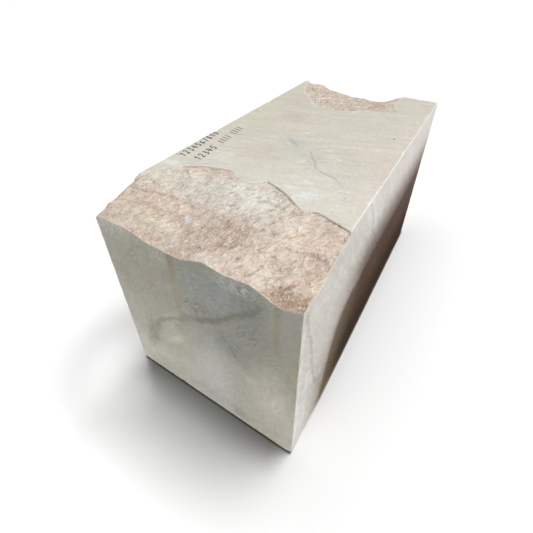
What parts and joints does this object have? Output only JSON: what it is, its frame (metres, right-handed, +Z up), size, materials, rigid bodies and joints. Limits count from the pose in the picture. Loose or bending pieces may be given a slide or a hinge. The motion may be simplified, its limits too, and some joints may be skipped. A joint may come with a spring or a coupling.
{
  "type": "marble block",
  "caption": "Sawn rectangular block of pale marble for carving, standing on its flat base, with a rough broken patch at each end of its top.",
  "frame": {"origin": "centre of the sawn base, at the height of the surface that the block stands on", "axes": "+X across the block's width to its right side, +Y along its length from the near end to the far end, +Z up"},
  "size_m": [0.4064, 0.8128, 0.4572],
  "materials": {
    "marble": "sawn, unpolished cream and grey-green marble with pinkish broken stone in the two breaks"
  },
  "bodies": {
    "root": {"marble_block": "marble"}
  },
  "joints": []
}
